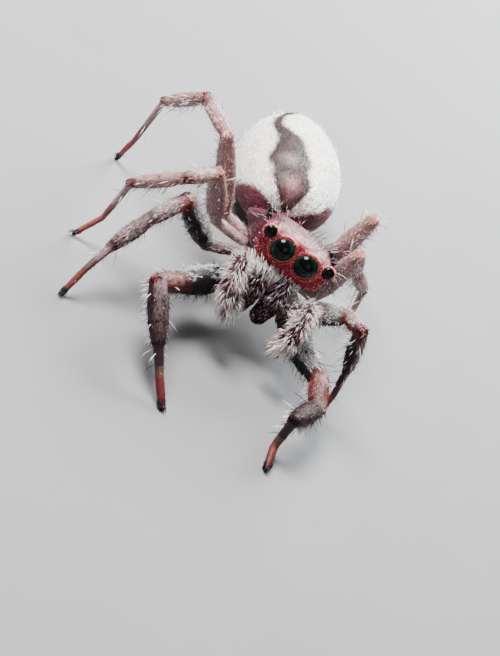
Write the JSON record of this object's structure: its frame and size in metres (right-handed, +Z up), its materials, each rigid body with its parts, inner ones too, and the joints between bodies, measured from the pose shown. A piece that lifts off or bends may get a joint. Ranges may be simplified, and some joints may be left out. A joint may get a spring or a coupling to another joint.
{
  "type": "jumping spider",
  "caption": "Life-size jumping spider standing with its front legs reached forward, a still display model with scaly red face and banded abdomen.",
  "frame": {"origin": "middle of the object's box, on the floor under it", "axes": "+Z up, -Y ahead of the spider's face, +X to the spider's left"},
  "size_m": [0.0088, 0.0146, 0.0041],
  "materials": {
    "carapace": "red scales over dark brown, matt",
    "belly": "reddish brown, matt",
    "abdomen": "cream scales with a grey-brown band, matt",
    "lens": "black and green, glossy",
    "jaw": "dark wine brown, satin",
    "palp": "pale grey hair, matt",
    "thigh": "dark brown with white scales, matt",
    "shin": "white and brown scales, matt",
    "foot": "orange red, matt"
  },
  "bodies": {
    "root": {"abdomen": "abdomen", "carapace": "carapace", "eye_median_left": "lens", "eye_median_right": "lens", "eye_rear_left": "lens", "eye_rear_right": "lens", "eye_side_left": "lens", "eye_side_right": "lens", "eye_small_left": "lens", "eye_small_right": "lens", "jaw_left": "jaw", "jaw_right": "jaw", "leg1_left_coxa": "belly", "leg1_left_femur": "thigh", "leg1_left_foot": "foot", "leg1_left_tibia": "shin", "leg1_right_coxa": "belly", "leg1_right_femur": "thigh", "leg1_right_foot": "foot", "leg1_right_tibia": "shin", "leg2_left_coxa": "belly", "leg2_left_femur": "thigh", "leg2_left_foot": "foot", "leg2_left_tibia": "shin", "leg2_right_coxa": "belly", "leg2_right_femur": "thigh", "leg2_right_foot": "foot", "leg2_right_tibia": "shin", "leg3_left_coxa": "belly", "leg3_left_femur": "thigh", "leg3_left_foot": "foot", "leg3_left_tibia": "shin", "leg3_right_coxa": "belly", "leg3_right_femur": "thigh", "leg3_right_foot": "foot", "leg3_right_tibia": "shin", "leg4_left_coxa": "belly", "leg4_left_femur": "thigh", "leg4_left_foot": "foot", "leg4_left_tibia": "shin", "leg4_right_coxa": "belly", "leg4_right_femur": "thigh", "leg4_right_foot": "foot", "leg4_right_tibia": "shin", "mouth": "belly", "palp_left_base": "palp", "palp_left_tip": "palp", "palp_right_base": "palp", "palp_right_tip": "palp", "pedicel": "belly", "spinnerets": "belly", "sternum": "belly"}
  },
  "joints": []
}
